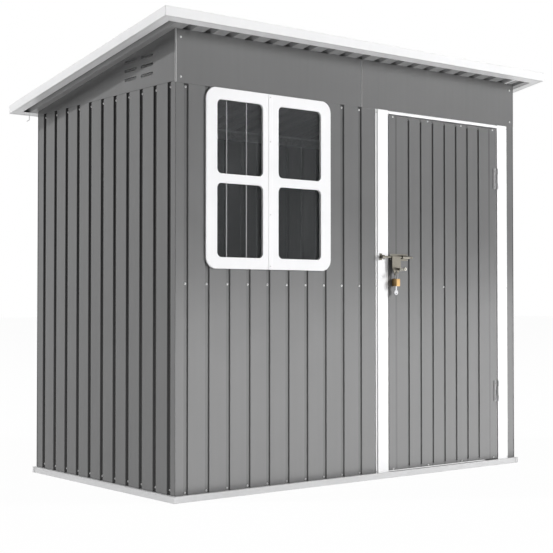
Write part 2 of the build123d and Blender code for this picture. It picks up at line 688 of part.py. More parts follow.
blade_half = KEY_BLADE_W / 2
key_front = tab_middle - KEY_T / 2
bow_z = lock_foot - KEY_BLADE_H - KEY_BOW_R + 1
key = block(EYE_X - blade_half, EYE_X + blade_half, key_front, key_front + KEY_T,
            lock_foot - KEY_BLADE_H, lock_foot)
key += rod((EYE_X, key_front, bow_z), KEY_BOW_R, KEY_T, "y")
key -= rod((EYE_X, key_front - 1, bow_z - KEY_BOW_R / 2), KEY_HOLE_R, KEY_T + 2, "y")
save("padlock_key", only(key))
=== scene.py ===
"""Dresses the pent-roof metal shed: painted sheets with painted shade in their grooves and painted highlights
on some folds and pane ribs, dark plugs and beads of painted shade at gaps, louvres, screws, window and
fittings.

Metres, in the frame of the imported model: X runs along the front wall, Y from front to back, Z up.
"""
import logging
import math
from dataclasses import dataclass, field
from enum import Enum

import bmesh
import bpy
from mathutils import Matrix, Vector
from mathutils.bvhtree import BVHTree


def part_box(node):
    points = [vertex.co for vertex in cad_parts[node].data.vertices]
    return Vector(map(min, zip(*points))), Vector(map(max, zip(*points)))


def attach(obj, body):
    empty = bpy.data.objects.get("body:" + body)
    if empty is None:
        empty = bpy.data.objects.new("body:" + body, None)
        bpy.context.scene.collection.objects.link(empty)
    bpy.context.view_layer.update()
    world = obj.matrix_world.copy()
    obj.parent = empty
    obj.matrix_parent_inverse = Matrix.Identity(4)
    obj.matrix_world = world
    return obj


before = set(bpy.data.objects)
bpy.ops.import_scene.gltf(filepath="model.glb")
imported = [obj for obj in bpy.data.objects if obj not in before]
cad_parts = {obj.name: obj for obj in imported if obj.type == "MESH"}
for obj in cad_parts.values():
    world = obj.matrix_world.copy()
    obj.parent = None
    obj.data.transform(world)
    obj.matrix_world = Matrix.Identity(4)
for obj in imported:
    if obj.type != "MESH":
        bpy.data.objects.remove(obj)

LOG = logging.getLogger("shed")
MM = 0.001
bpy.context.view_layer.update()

Socket = bpy.types.NodeSocket
Colour = tuple[float, float, float]
Point = tuple[float, float, float]
Mesh = bmesh.types.BMesh
Corner = bmesh.types.BMVert


class Body(Enum):
    """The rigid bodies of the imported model."""

    SHED = "shed"
    DOOR = "door"
    BOLT = "bolt"
    PADLOCK = "padlock"


class Facing(Enum):
    """The way that a screw head or a plate looks."""

    FRONT = (0.0, -1.0, 0.0)
    BACK = (0.0, 1.0, 0.0)
    LEFT = (-1.0, 0.0, 0.0)
    RIGHT = (1.0, 0.0, 0.0)
    ROOF = (0.0, 0.16529, 0.98625)


Seated = tuple[Facing, Point]
Spot = tuple[str, Facing, Point]


class Nodes:
    """Short steps for laying out the nodes of a material or a world."""

    def __init__(self, tree: bpy.types.NodeTree) -> None:
        """Empties a tree to lay it out anew.

        Args:
            tree: The tree of a material or a world.
        """
        self.tree = tree
        self.tree.nodes.clear()

    def new(self, kind: str, **values: float | tuple) -> bpy.types.Node:
        """Adds a node and sets its sockets; underscores stand for spaces.

        Args:
            kind: Its type, without the first word that all types share.
            **values: Names of inputs and their values.

        Returns:
            The node.
        """
        node = self.tree.nodes.new("ShaderNode" + kind)
        for name, value in values.items():
            node.inputs[name.replace("_", " ")].default_value = value
        return node

    def join(self, source: Socket, target: Socket) -> None:
        """Links an output to an input."""
        self.tree.links.new(source, target)

    def maths(self, operation: str, first: Socket, second: Socket | float) -> Socket:
        """Works out one value from two.

        Args:
            operation: What is done with them.
            first: A value.
            second: Another value, or a number.

        Returns:
            The result.
        """
        node = self.new("Math")
        node.operation = operation
        self.join(first, node.inputs[0])
        if isinstance(second, float):
            node.inputs[1].default_value = second
        else:
            self.join(second, node.inputs[1])
        return node.outputs["Value"]

    def remap(self, source: Socket, start: float, end: float, low: float, high: float,
              way: str = "LINEAR") -> Socket:
        """Moves one range of values to another.

        Args:
            source: The value.
            start: Where the old range starts.
            end: Where the old range ends.
            low: The new value at the start.
            high: The new value at the end.
            way: How it goes from one to the other.

        Returns:
            The new value.
        """
        node = self.new("MapRange", From_Min=start, From_Max=end, To_Min=low, To_Max=high)
        node.interpolation_type = way
        self.join(source, node.inputs["Value"])
        return node.outputs["Result"]

    def blend(self, share: Socket, first: Socket, second: Socket) -> Socket:
        """Mixes two shaders.

        Args:
            share: How much of the second shows.
            first: A shader.
            second: Another shader.

        Returns:
            The mixed shader.
        """
        node = self.new("MixShader")
        for source, target in zip((share, first, second), node.inputs):
            self.join(source, target)
        return node.outputs["Shader"]

    def seen_rays(self) -> Socket:
        """Marks the rays that look at the background, straight, mirrored or through glazing.

        Returns:
            1 for such rays and 0 for the rest.
        """
        path = self.new("LightPath")
        last = path.outputs["Is Camera Ray"]
        for name in ("Is Glossy Ray", "Is Transmission Ray"):
            last = self.maths("MAXIMUM", last, path.outputs[name])
        return last


class NodeSheet(Nodes):
    """The nodes of one material around its main shader."""

    def __init__(self, name: str) -> None:
        """Starts an empty material with a Principled shader.

        Args:
            name: The material's name.
        """
        self.material = bpy.data.materials.new(name)
        self.material.use_nodes = True
        super().__init__(self.material.node_tree)
        self.output = self.new("OutputMaterial")
        self.shader = self.new("BsdfPrincipled")
        self.join(self.shader.outputs["BSDF"], self.output.inputs["Surface"])
        self.place = self.new("TexCoord").outputs["Object"]

    def set(self, **values: float | tuple) -> None:
        """Sets the shader's own sockets; underscores stand for spaces.

        Args:
            **values: Socket names and their values.
        """
        for name, value in values.items():
            self.shader.inputs[name.replace("_", " ")].default_value = value

    def coat(self, colour: Socket, gloss: Socket) -> None:
        """Gives the shader its colour and its roughness."""
        self.join(colour, self.shader.inputs["Base Color"])
        self.join(gloss, self.shader.inputs["Roughness"])

    def along(self, axis: str) -> Socket:
        """One coordinate of the surface, in metres.

        Args:
            axis: X, Y or Z.

        Returns:
            The coordinate.
        """
        parts = self.new("SeparateXYZ")
        self.join(self.place, parts.inputs["Vector"])
        return parts.outputs[axis]

    def noise(self, scale: float, detail: float, stretch: Point = (1.0, 1.0, 1.0)) -> Socket:
        """A noise in the object's own metres.

        Args:
            scale: Waves per metre.
            detail: Octaves.
            stretch: Factor on each axis, small where the pattern is long.

        Returns:
            The noise's value.
        """
        mapping = self.new("Mapping", Scale=stretch)
        self.join(self.place, mapping.inputs["Vector"])
        node = self.new("TexNoise", Scale=scale, Detail=detail)
        self.join(mapping.outputs["Vector"], node.inputs["Vector"])
        return node.outputs["Fac"]

    def spangle(self, scale: float) -> Socket:
        """A cell pattern like the flakes of a zinc coat.

        Args:
            scale: Cells per metre.

        Returns:
            The cells' values.
        """
        node = self.new("TexVoronoi", Scale=scale)
        self.join(self.place, node.inputs["Vector"])
        grey = self.new("RGBToBW")
        self.join(node.outputs["Color"], grey.inputs["Color"])
        return grey.outputs["Val"]

    def spread(self, source: Socket, low: float, high: float) -> Socket:
        """Moves a pattern's middle range to a range of values.

        Args:
            source: The pattern.
            low: Value at its dark parts.
            high: Value at its light parts.

        Returns:
            The new value.
        """
        return self.remap(source, 0.3, 0.7, low, high)

    def around(self, source: Socket, middle: float, swing: float) -> Socket:
        """Moves a pattern to a range around a value.

        Args:
            source: The pattern.
            middle: The value.
            swing: How far it goes to either side.

        Returns:
            The new value.
        """
        return self.spread(source, middle - swing, middle + swing)

    def shade(self, colour: Colour | Socket, *factors: Socket) -> Socket:
        """A colour multiplied by patterns.

        Args:
            colour: The middle colour.
            *factors: Patterns around 1.

        Returns:
            The shaded colour.
        """
        last = colour
        for factor in factors:
            node = self.new("VectorMath")
            node.operation = "SCALE"
            if isinstance(last, tuple):
                node.inputs[0].default_value = last
            else:
                self.join(last, node.inputs[0])
            self.join(factor, node.inputs["Scale"])
            last = node.outputs["Vector"]
        return last

    def shade_grooves(self, groove_shade: "GrooveShade") -> Socket:
        """Paints shade into pressed grooves: a darker band over each groove, with a soft edge.

        Args:
            groove_shade: Where the grooves lie.

        Returns:
            The factor of painted shade for the colour.
        """
        moved = self.maths("SUBTRACT", self.along(groove_shade.axis), groove_shade.first)
        away = self.maths("PINGPONG", moved, groove_shade.pitch / 2)
        return self.remap(away, groove_shade.half - groove_shade.edge, groove_shade.half, groove_shade.level, 1.0)

    def split(self, where: float, low: Colour, high: Colour) -> Socket:
        """Two coats that meet on a line across X.

        Args:
            where: The line's X.
            low: Colour to its left.
            high: Colour to its right.

        Returns:
            The colour.
        """
        mix = self.new("Mix")
        mix.data_type = "RGBA"
        self.join(self.maths("GREATER_THAN", self.along("X"), where), mix.inputs["Factor"])
        for name, colour in (("A", low), ("B", high)):
            mix.inputs[name].default_value = (*colour, 1.0)
        return mix.outputs["Result"]

    def soften(self, radius: float) -> None:
        """Rounds the look of sharp bends and edges.

        Args:
            radius: The bend's radius in metres.
        """
        node = self.new("Bevel", Radius=radius)
        node.samples = 6
        self.join(node.outputs["Normal"], self.shader.inputs["Normal"])

    def relief(self, height: Socket, depth: float, strength: float = 1.0) -> None:
        """Adds a bump to the shader.

        Args:
            height: The pattern of heights.
            depth: Metres between its low and high parts.
            strength: Share of the effect.
        """
        node = self.new("Bump", Strength=strength, Distance=depth)
        self.join(height, node.inputs["Height"])
        taken = self.shader.inputs["Normal"].links
        if taken:
            self.join(taken[0].from_socket, node.inputs["Normal"])
        self.join(node.outputs["Normal"], self.shader.inputs["Normal"])


@dataclass(frozen=True)
class GrooveShade:
    """The pressed grooves of one sheet, and the painted shade laid over them."""

    axis: str
    first: float
    pitch: float = 98.0 * MM
    half: float = 10.5 * MM
    # Share of the colour left at a groove's middle: the depth of the painted shade.
    level: float = 0.8
    edge: float = 1.5 * MM


@dataclass(frozen=True)
class PaintedSteel:
    """Coil-coated sheet: an even satin paint with a faint orange peel and long rolling waves, and on some
    sheets painted shade in the grooves.
    """

    name: str
    colour: Colour
    roughness: float = 0.34
    uneven: float = 0.04
    peel: float = 0.00002
    waves: float = 0.0003
    specular: float = 0.5
    bend: float = 1.6 * MM
    # Optional painted shade in the sheet's grooves.
    groove_shade: GrooveShade | None = None

    def material(self) -> bpy.types.Material:
        """Builds the material.

        Returns:
            The finished material.
        """
        sheet = NodeSheet(self.name)
        sheet.set(Specular_IOR_Level=self.specular)
        sheet.soften(self.bend)
        factors = [
            sheet.around(sheet.noise(2.2, 3.0), 1.0, self.uneven),
            sheet.around(sheet.noise(40.0, 2.0, (1.0, 1.0, 0.03)), 1.0, self.uneven / 2),
            sheet.around(sheet.noise(900.0, 2.0), 1.0, self.uneven / 3),
        ]
        # Painted shade: the grooves get a darker colour.
        if self.groove_shade:
            factors.append(sheet.shade_grooves(self.groove_shade))
        gloss = sheet.around(sheet.noise(9.0, 4.0), self.roughness, 0.03)
        sheet.coat(sheet.shade(self.colour, *factors), gloss)
        sheet.relief(sheet.noise(3.0, 1.0, (1.0, 1.0, 0.4)), self.waves, 0.5)
        sheet.relief(sheet.noise(700.0, 2.0), self.peel, 0.6)
        return sheet.material


@dataclass(frozen=True)
class MouldedPlastic:
    """Injection-moulded plastic: a soft fine grain under a low sheen."""

    name: str
    colour: Colour
    roughness: float = 0.42
    bend: float = 1.2 * MM

    def material(self) -> bpy.types.Material:
        """Builds the material.

        Returns:
            The finished material.
        """
        sheet = NodeSheet(self.name)
        sheet.set(Specular_IOR_Level=0.45)
        sheet.soften(self.bend)
        flow = sheet.spread(sheet.noise(5.0, 2.0), 0.975, 1.01)
        gloss = sheet.around(sheet.noise(14.0, 3.0), self.roughness, 0.04)
        sheet.coat(sheet.shade(self.colour, flow), gloss)
        sheet.relief(sheet.noise(1600.0, 2.0), 0.00002, 0.5)
        return sheet.material


@dataclass(frozen=True)
class BareMetal:
    """Plated or bare metal: small flakes or cells, fine scratches and a broken gloss."""

    name: str
    colour: Colour
    roughness: float = 0.3
    flake: float = 90.0
    uneven: float = 0.08
    metallic: float = 1.0
    bend: float = 0.5 * MM

    def material(self) -> bpy.types.Material:
        """Builds the material.

        Returns:
            The finished material.
        """
        sheet = NodeSheet(self.name)
        sheet.set(Metallic=self.metallic, Specular_IOR_Level=0.5)
        sheet.soften(self.bend)
        cells = sheet.around(sheet.spangle(self.flake), 1.0, self.uneven)
        cloud = sheet.around(sheet.noise(25.0, 3.0), 1.0, self.uneven / 2)
        gloss = sheet.around(sheet.noise(160.0, 4.0), self.roughness, 0.07)
        sheet.coat(sheet.shade(self.colour, cells, cloud), gloss)
        sheet.relief(sheet.noise(900.0, 3.0, (0.1, 1.0, 1.0)), 0.00003, 0.5)
        return sheet.material


@dataclass(frozen=True)
class HingeSteel:
    """Hinge leaves coated with the door, whose rolled knuckles stay pale."""

    name: str
    coat: Colour
    knuckle: Colour
    meet: float
    roughness: float = 0.36
    bend: float = 0.6 * MM

    def material(self) -> bpy.types.Material:
        """Builds the material.

        Returns:
            The finished material.
        """
        sheet = NodeSheet(self.name)
        sheet.set(Specular_IOR_Level=0.5)
        sheet.soften(self.bend)
        wear = sheet.spread(sheet.noise(70.0, 4.0), 0.92, 1.06)
        gloss = sheet.around(sheet.noise(160.0, 3.0), self.roughness, 0.05)
        sheet.coat(sheet.shade(sheet.split(self.meet, self.coat, self.knuckle), wear), gloss)
        sheet.relief(sheet.noise(800.0, 2.0), 0.00002, 0.5)
        return sheet.material


@dataclass(frozen=True)
class ClearSheet:
    """Clear plastic glazing: nearly all light goes through, with a faint haze and dust."""

    name: str
    colour: Colour
    cover: float = 0.075

    def material(self) -> bpy.types.Material:
        """Builds the material.

        Returns:
            The finished material.
        """
        sheet = NodeSheet(self.name)
        sheet.set(Specular_IOR_Level=0.5, IOR=1.49)
        dust = sheet.around(sheet.noise(60.0, 4.0), 1.0, 0.15)
        gloss = sheet.spread(sheet.noise(11.0, 3.0), 0.05, 0.11)
        sheet.coat(sheet.shade(self.colour, dust), gloss)
        film = sheet.around(sheet.noise(7.0, 3.0), self.cover, self.cover * 0.2)
        sheet.join(film, sheet.shader.inputs["Alpha"])
        sheet.relief(sheet.noise(6.0, 1.0), 0.0004, 0.4)
        return sheet.material


@dataclass
class Outline:
    """The shed's main planes and levels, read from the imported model."""

    sheet: float = 1.2 * MM
    pitch: float = 98.0 * MM
    door_pitch: float = 74.3 * MM
    first_front: float = 47.8 * MM
    first_side: float = 41.0 * MM
    first_door: float = 1211.1 * MM
    knuckle_from: float = 1768.5 * MM
    left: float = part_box("header_left")[0].x + sheet
    right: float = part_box("header_right")[1].x - sheet
    front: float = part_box("header_left")[1].y
    back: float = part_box("wall_back_left")[1].y
    floor_line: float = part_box("wall_front_panel")[0].z
    band_low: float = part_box("header_left")[0].z
    gable_low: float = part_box("gable_left")[0].z
    back_top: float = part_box("wall_back_left")[1].z
    sheet_end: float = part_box("wall_front_panel")[1].x
    header_top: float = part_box("header_left")[1].z
    header_seam: float = left + 940.0 * MM

    def grooves(self, start: float, first: float, end: float) -> list[float]:
        """Centres of the grooves of one wall.

        Args:
            start: Where the wall begins.
            first: Distance to its first groove.
            end: Where the wall ends.

        Returns:
            The centres, along the wall.
        """
        count = int((end - start - first) / self.pitch) + 1
        return [start + first + i * self.pitch for i in range(count)]


PLAN = Outline()
WALL_GREY = (0.125, 0.125, 0.126)
PALE_GREY = (0.62, 0.62, 0.625)
# Painted shade in the grooves of the front, back, side and door sheets. On the side walls the dark band is
# shifted and widened past the groove onto the flat beside it, as a painted shadow line.
FRONT_GROOVE_SHADE = GrooveShade("X", PLAN.left + PLAN.first_front)
SIDE_GROOVE_SHADE = GrooveShade("Y", PLAN.front + PLAN.first_side + 3.0 * MM, half=12.0 * MM, level=0.12)
DOOR_GROOVE_SHADE = GrooveShade("X", PLAN.left + PLAN.first_door, PLAN.door_pitch, half=6.0 * MM, level=0.7)


@dataclass(frozen=True)
class Palette:
    """Every finish on the shed, built once."""

    wall: PaintedSteel = PaintedSteel("wall_grey_paint", WALL_GREY, roughness=0.2)
    front: PaintedSteel = PaintedSteel("front_grey_paint_groove_shade", WALL_GREY, roughness=0.2, groove_shade=FRONT_GROOVE_SHADE)
    side: PaintedSteel = PaintedSteel("side_grey_paint_groove_shade", WALL_GREY, roughness=0.2, groove_shade=SIDE_GROOVE_SHADE)
    door: PaintedSteel = PaintedSteel("door_grey_paint_groove_shade", WALL_GREY, roughness=0.2, groove_shade=DOOR_GROOVE_SHADE)
    # Paler grey for the band's rolled corner and seam: a painted highlight along the folds.
    fold_highlight: PaintedSteel = PaintedSteel("folded_edge_painted_highlight", (0.34, 0.34, 0.342), roughness=0.3)
    hinge: HingeSteel = HingeSteel("hinge_leaf_coat", WALL_GREY, PALE_GREY, PLAN.left + PLAN.knuckle_from)
    louvre: PaintedSteel = PaintedSteel("louvre_grey_paint", (0.1, 0.1, 0.101), roughness=0.3)
    # Pale opaque grey for the ribs on the clear panes: a painted highlight for the bright lines they show.
    pane_rib_highlight: PaintedSteel = PaintedSteel("pane_rib_painted_highlight", (0.36, 0.36, 0.365), roughness=0.3)
    # Near-black for the plugs at the groove tops and the beads at the edging's corners: painted shade in the
    # gaps.
    gap_shade: PaintedSteel = PaintedSteel("gap_shade_dark", (0.03, 0.03, 0.03), roughness=0.7, specular=0.2)
    roof: PaintedSteel = PaintedSteel("roof_grey_paint", (0.26, 0.26, 0.262), roughness=0.4)
    rail: PaintedSteel = PaintedSteel("rail_light_grey", PALE_GREY, roughness=0.38)
    white: PaintedSteel = PaintedSteel("white_coated_steel", (0.83, 0.83, 0.835), roughness=0.3, uneven=0.012)
    # The edging's white is set darker than the rest of the white steel: painted shade that keeps the lit
    # edging below pure white.
    edging: PaintedSteel = PaintedSteel("edging_white_steel_painted_shade", (0.76, 0.76, 0.765), 0.35, 0.015)
    window: MouldedPlastic = MouldedPlastic("white_moulded_plastic", (0.80, 0.80, 0.81))
    pane: ClearSheet = ClearSheet("clear_glazing", (0.25, 0.26, 0.27))
    zinc: BareMetal = BareMetal("zinc_coated_steel", (0.50, 0.51, 0.52), 0.42, 120.0, 0.12, 0.75)
    bolt: BareMetal = BareMetal("plated_bolt_steel", (0.155, 0.146, 0.124), 0.36, 400.0, 0.06)
    brass: BareMetal = BareMetal("lock_brass", (0.40, 0.26, 0.115), 0.36, 500.0, 0.06)
    knob: BareMetal = BareMetal("knob_nickel", (0.74, 0.72, 0.65), 0.45, 500.0, 0.05, 0.1)
    key: BareMetal = BareMetal("key_nickel", (0.36, 0.36, 0.37), 0.3, 500.0, 0.05)
    screw: BareMetal = BareMetal("screw_zinc", (0.62, 0.62, 0.62), 0.34, 900.0, 0.05, 0.85)
    washer: PaintedSteel = PaintedSteel("washer_rubber", (0.05, 0.05, 0.05), roughness=0.7, specular=0.2)
    made: dict[str, bpy.types.Material] = field(default_factory=dict)

    def get(self, finish: str) -> bpy.types.Material:
        """Gives a finish's material, made the first time it is asked for.

        Args:
            finish: The name of one of the fields above.

        Returns:
            The material.
        """
        if finish not in self.made:
            self.made[finish] = getattr(self, finish).material()
        return self.made[finish]


@dataclass
class Piece:
    """Shared steps of every sub-assembly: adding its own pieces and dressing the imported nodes."""

    palette: Palette
    outline: Outline

    def add(self, name: str, mesh: Mesh, body: Body, finish: str, slot: str,
            smooth: bool = True) -> bpy.types.Object:
        """Turns a mesh into a piece that rides on a body.

        Args:
            name: The piece's name.
            mesh: Its faces, in frame metres.
            body: What it moves with.
            finish: The palette's name for its material.
            slot: The record's material slot; not used.
            smooth: Whether its small facets are shaded round.

        Returns:
            The new object.
        """
        bmesh.ops.recalc_face_normals(mesh, faces=mesh.faces)
        data = bpy.data.meshes.new(name)
        mesh.to_mesh(data)
        mesh.free()
        piece = bpy.data.objects.new(name, data)
        bpy.context.scene.collection.objects.link(piece)
        data.materials.append(self.palette.get(finish))
        if smooth:
            data.shade_smooth()
            data.set_sharp_from_angle(angle=math.radians(35))
        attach(piece, body.value)
        LOG.info("piece %s: %d faces", name, len(data.polygons))
        return piece

    def dress(self, finish: str, slot: str, *nodes: str) -> None:
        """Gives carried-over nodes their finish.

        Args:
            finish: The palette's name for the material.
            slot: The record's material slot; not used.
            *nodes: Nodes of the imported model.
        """
        for node in nodes:
            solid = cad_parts[node]
            solid.data.materials.clear()
            solid.data.materials.append(self.palette.get(finish))
            LOG.info("dressed %s in %s", node, finish)


def turned(facing: Facing, at: Point) -> Matrix:
    """The place of a small part that stands on a surface.

    Args:
        facing: The way that it looks.
        at: The point of the surface.

    Returns:
        A matrix that takes local Z to the facing.
    """
    return Matrix.Translation(at) @ Vector(facing.value).to_track_quat("Z", "Y").to_matrix().to_4x4()


@dataclass
class Seat:
    """Finds where a small part touches the node that carries it."""

    reach: float = 60.0 * MM
    drop: float = 200.0 * MM
    trees: dict[str, BVHTree] = field(default_factory=dict)

    def tree(self, node: str) -> BVHTree:
        """A node's faces, read the first time that they are asked for.

        Args:
            node: The node's name.

        Returns:
            Its faces, ready for a search.
        """
        if node not in self.trees:
            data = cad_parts[node].data
            corners = [vertex.co[:] for vertex in data.vertices]
            self.trees[node] = BVHTree.FromPolygons(corners, [tuple(face.vertices) for face in data.polygons])
        return self.trees[node]

    def on(self, node: str, facing: Facing, at: Point) -> Point:
        """Moves a point along its facing until it lies on the node.

        Args:
            node: The node that carries the part.
            facing: The way that the part looks.
            at: A point near the surface.

        Returns:
            The point on the surface, or the same point where the node isn't met.
        """
        way = Vector(facing.value)
        hit = self.tree(node).ray_cast(Vector(at) + way * self.reach, -way, 2 * self.reach)[0]
        if hit is None:
            LOG.warning("no seat on %s at %s", node, [round(value, 4) for value in at])
            return at
        return tuple(hit)

    def under(self, node: str, at: Point) -> Point:
        """Finds a node's underside above or below a point.

        Args:
            node: The node to look at.
            at: The point.

        Returns:
            The point on the underside.
        """
        below = Vector(at) - Vector((0, 0, self.drop))
        return tuple(self.tree(node).ray_cast(below, Vector((0, 0, 1)), 2 * self.drop)[0])

    def all(self, spots: list[Spot]) -> list[Seated]:
        """Seats a list of parts.

        Args:
            spots: Node, facing and nearby point of each.

        Returns:
            Facing and seated point of each.
        """
        return [(facing, self.on(node, facing, at)) for node, facing, at in spots]


SEAT = Seat()


def circle(mesh: Mesh, place: Matrix, radius: float, height: float, sides: int) -> list[Corner]:
    """One ring of points around a part's own axis.

    Args:
        mesh: The mesh to add to.
        place: The part's place.
        radius: The ring's radius.
        height: Its place along the axis.
        sides: How many points it has.

    Returns:
        The new points, in order.
    """
    turns = [2 * math.pi * i / sides for i in range(sides)]
    spots = [Vector((radius * math.cos(turn), radius * math.sin(turn), height)) for turn in turns]
    return [mesh.verts.new(place @ spot) for spot in spots]


def skin(mesh: Mesh, rings: list[list[Corner]], closed: bool = True) -> None:
    """Covers a row of rings with faces.

    Args:
        mesh: The mesh to add to.
        rings: Rings of as many points each.
        closed: Whether the first and last rings get a face of their own.
    """
    count = len(rings[0])
    for lower, upper in zip(rings, rings[1:]):
        for i in range(count):
            j = (i + 1) % count
            mesh.faces.new((lower[i], lower[j], upper[j], upper[i]))
    if closed:
        mesh.faces.new(list(reversed(rings[0])))
        mesh.faces.new(rings[-1])


@dataclass
class Screw:
    """A pan-head screw with a cross recess, standing on a thin washer."""

    head: float = 3.3 * MM
    tall: float = 2.0 * MM
    washer: float = 4.3 * MM
    washer_tall: float = 0.7 * MM
    cross: float = 2.0 * MM
    cross_half: float = 0.42 * MM
    cross_deep: float = 1.1 * MM
    sides: int = 16

    def ring(self, mesh: Mesh, place: Matrix, radius: float, height: float) -> list[Corner]:
        """One circle of points; the recess lowers those that lie on its arms.

        Args:
            mesh: The mesh to add to.
            place: The screw's place.
            radius: The circle's radius.
            height: Its height above the surface.

        Returns:
            The new points, in order.
        """
        points = []
        for i in range(self.sides):
            angle = 2 * math.pi * i / self.sides
            x, y = radius * math.cos(angle), radius * math.sin(angle)
            on_arm = radius < self.cross and min(abs(x), abs(y)) < self.cross_half
            low = self.cross_deep if on_arm else 0.0
            points.append(mesh.verts.new(place @ Vector((x, y, height - low))))
        return points

    def build(self, mesh: Mesh, place: Matrix) -> None:
        """Adds one screw to a mesh.

        Args:
            mesh: The mesh to add to.
            place: The screw's place, from turned().
        """
        dome = self.washer_tall + self.tall
        profile = [
            (self.washer, 0.0), (self.washer, self.washer_tall * 0.6),
            (self.washer * 0.96, self.washer_tall), (self.head, self.washer_tall),
            (self.head, self.washer_tall + self.tall * 0.35), (self.head * 0.85, dome - self.tall * 0.22),
            (self.head * 0.6, dome - self.tall * 0.07), (self.cross * 0.97, dome),
            (self.cross * 0.45, dome),
        ]
        rings = [self.ring(mesh, place, radius, height) for radius, height in profile]
        skin(mesh, rings, closed=False)
        middle = mesh.verts.new(place @ Vector((0, 0, dome - self.cross_deep)))
        for i in range(self.sides):
            mesh.faces.new((rings[-1][i], rings[-1][(i + 1) % self.sides], middle))
        mesh.faces.new(list(reversed(rings[0])))

    def row(self, spots: list[Seated]) -> Mesh:
        """Builds many screws as one mesh.

        Args:
            spots: Each screw's facing and place.

        Returns:
            The joined mesh.
        """
        mesh = bmesh.new()
        for facing, at in spots:
            self.build(mesh, turned(facing, at))
        return mesh


def bead(mesh: Mesh, start: Point, end: Point, radius: float, sides: int = 10) -> None:
    """Adds a rolled edge: a slim round bar with domed ends.

    Args:
        mesh: The mesh to add to.
        start: Middle of one end.
        end: Middle of the other end.
        radius: Its radius.
        sides: Facets around it.
    """
    way = Vector(end) - Vector(start)
    place = Matrix.Translation(start) @ way.to_track_quat("Z", "Y").to_matrix().to_4x4()
    tip, last = radius * 0.4, way.length
    profile = [(0.0, 0.35), (tip, 0.8), (radius, 1.0), (last - radius, 1.0), (last - tip, 0.8), (last, 0.35)]
    skin(mesh, [circle(mesh, place, radius * share, along, sides) for along, share in profile])


def plate(mesh: Mesh, corners: list[Point], thick: Point) -> None:
    """Adds a thin plate with its rim broken by a small chamfer.

    Args:
        mesh: The mesh to add to.
        corners: The outline of one face.
        thick: From that face to the other one.
    """
    middle = sum((Vector(corner) for corner in corners), Vector()) / len(corners)
    layers = []
    for share, shrink in ((0.0, 1.0), (0.6, 1.0), (1.0, 0.0)):
        ring = []
        for corner in corners:
            inwards = (middle - Vector(corner)).normalized() * Vector(thick).length * 0.5 * (1 - shrink)
            ring.append(mesh.verts.new(Vector(corner) + Vector(thick) * share + inwards))
        layers.append(ring)
    skin(mesh, layers)


